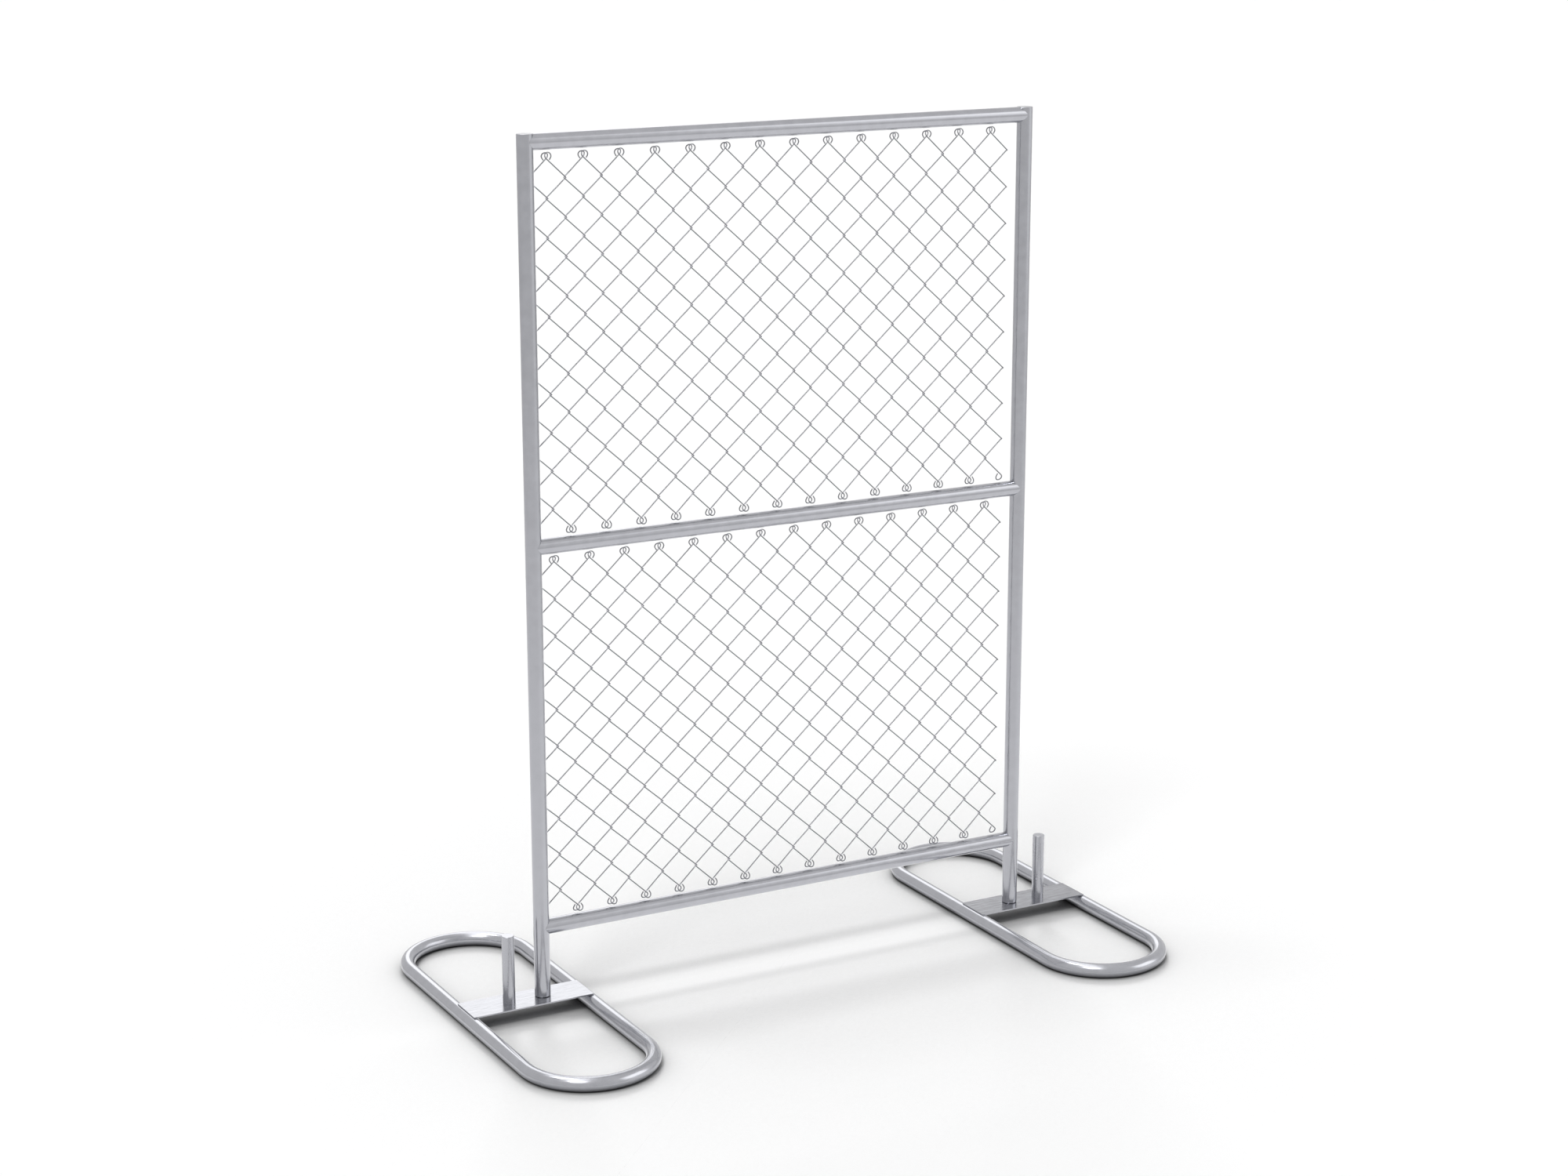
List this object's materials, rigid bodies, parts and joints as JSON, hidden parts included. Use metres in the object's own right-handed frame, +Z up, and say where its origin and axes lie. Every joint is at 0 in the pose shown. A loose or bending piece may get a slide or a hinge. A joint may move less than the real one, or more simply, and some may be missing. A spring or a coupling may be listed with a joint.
{
  "type": "chain-link gate panel on loop stands",
  "caption": "Portable chain-link gate panel: welded round-tube frame with rails and woven wire, its legs dropped over upright stubs on flat tube loop stands.",
  "frame": {"origin": "on the floor, midway between the two posts and in the plane of the panel", "axes": "+X along the panel from the left post to the right post, +Y through the panel to its back, +Z up"},
  "size_m": [1.568, 0.9138, 1.8641],
  "materials": {
    "galvanised_tube": "bright galvanised tube, smooth, with soft highlights",
    "galvanised_bar": "bright galvanised round bar",
    "galvanised_wire": "galvanised wire, smooth",
    "plate_steel": "galvanised flat plate, finely brushed and mottled"
  },
  "bodies": {
    "left_stand": {"left_stand_loop": "galvanised_tube", "left_stand_plate": "plate_steel", "left_pivot_stub": "galvanised_bar", "left_free_stub": "galvanised_bar"},
    "panel": {"left_post": "galvanised_tube", "right_post": "galvanised_tube", "left_post_cap": "galvanised_tube", "right_post_cap": "galvanised_tube", "top_rail": "galvanised_tube", "mid_rail": "galvanised_tube", "bottom_rail": "galvanised_tube", "upper_wire_pair_01": "galvanised_wire", "upper_wire_pair_02": "galvanised_wire", "upper_wire_pair_03": "galvanised_wire", "upper_wire_pair_04": "galvanised_wire", "upper_wire_pair_05": "galvanised_wire", "upper_wire_pair_06": "galvanised_wire", "upper_wire_pair_07": "galvanised_wire", "upper_wire_pair_08": "galvanised_wire", "upper_wire_pair_09": "galvanised_wire", "upper_wire_pair_10": "galvanised_wire", "upper_wire_pair_11": "galvanised_wire", "upper_wire_pair_12": "galvanised_wire", "upper_wire_pair_13": "galvanised_wire", "upper_wire_pair_14": "galvanised_wire", "lower_wire_pair_01": "galvanised_wire", "lower_wire_pair_02": "galvanised_wire", "lower_wire_pair_03": "galvanised_wire", "lower_wire_pair_04": "galvanised_wire", "lower_wire_pair_05": "galvanised_wire", "lower_wire_pair_06": "galvanised_wire", "lower_wire_pair_07": "galvanised_wire", "lower_wire_pair_08": "galvanised_wire", "lower_wire_pair_09": "galvanised_wire", "lower_wire_pair_10": "galvanised_wire", "lower_wire_pair_11": "galvanised_wire", "lower_wire_pair_12": "galvanised_wire", "lower_wire_pair_13": "galvanised_wire", "lower_wire_pair_14": "galvanised_wire"},
    "right_stand": {"right_stand_loop": "galvanised_tube", "right_stand_plate": "plate_steel", "right_pivot_stub": "galvanised_bar", "right_free_stub": "galvanised_bar"}
  },
  "joints": [
    {"name": "gate_swing", "type": "hinge", "parent": "left_stand", "child": "panel", "pos_m": [-0.5925, 0, 0.1], "axis": [0, 0, 1], "range_deg": [-150, 150]},
    {"name": "right_stand_swivel", "type": "hinge", "parent": "panel", "child": "right_stand", "pos_m": [0.5925, 0, 0.1], "axis": [0, 0, 1], "range_deg": [-150, 150]}
  ]
}
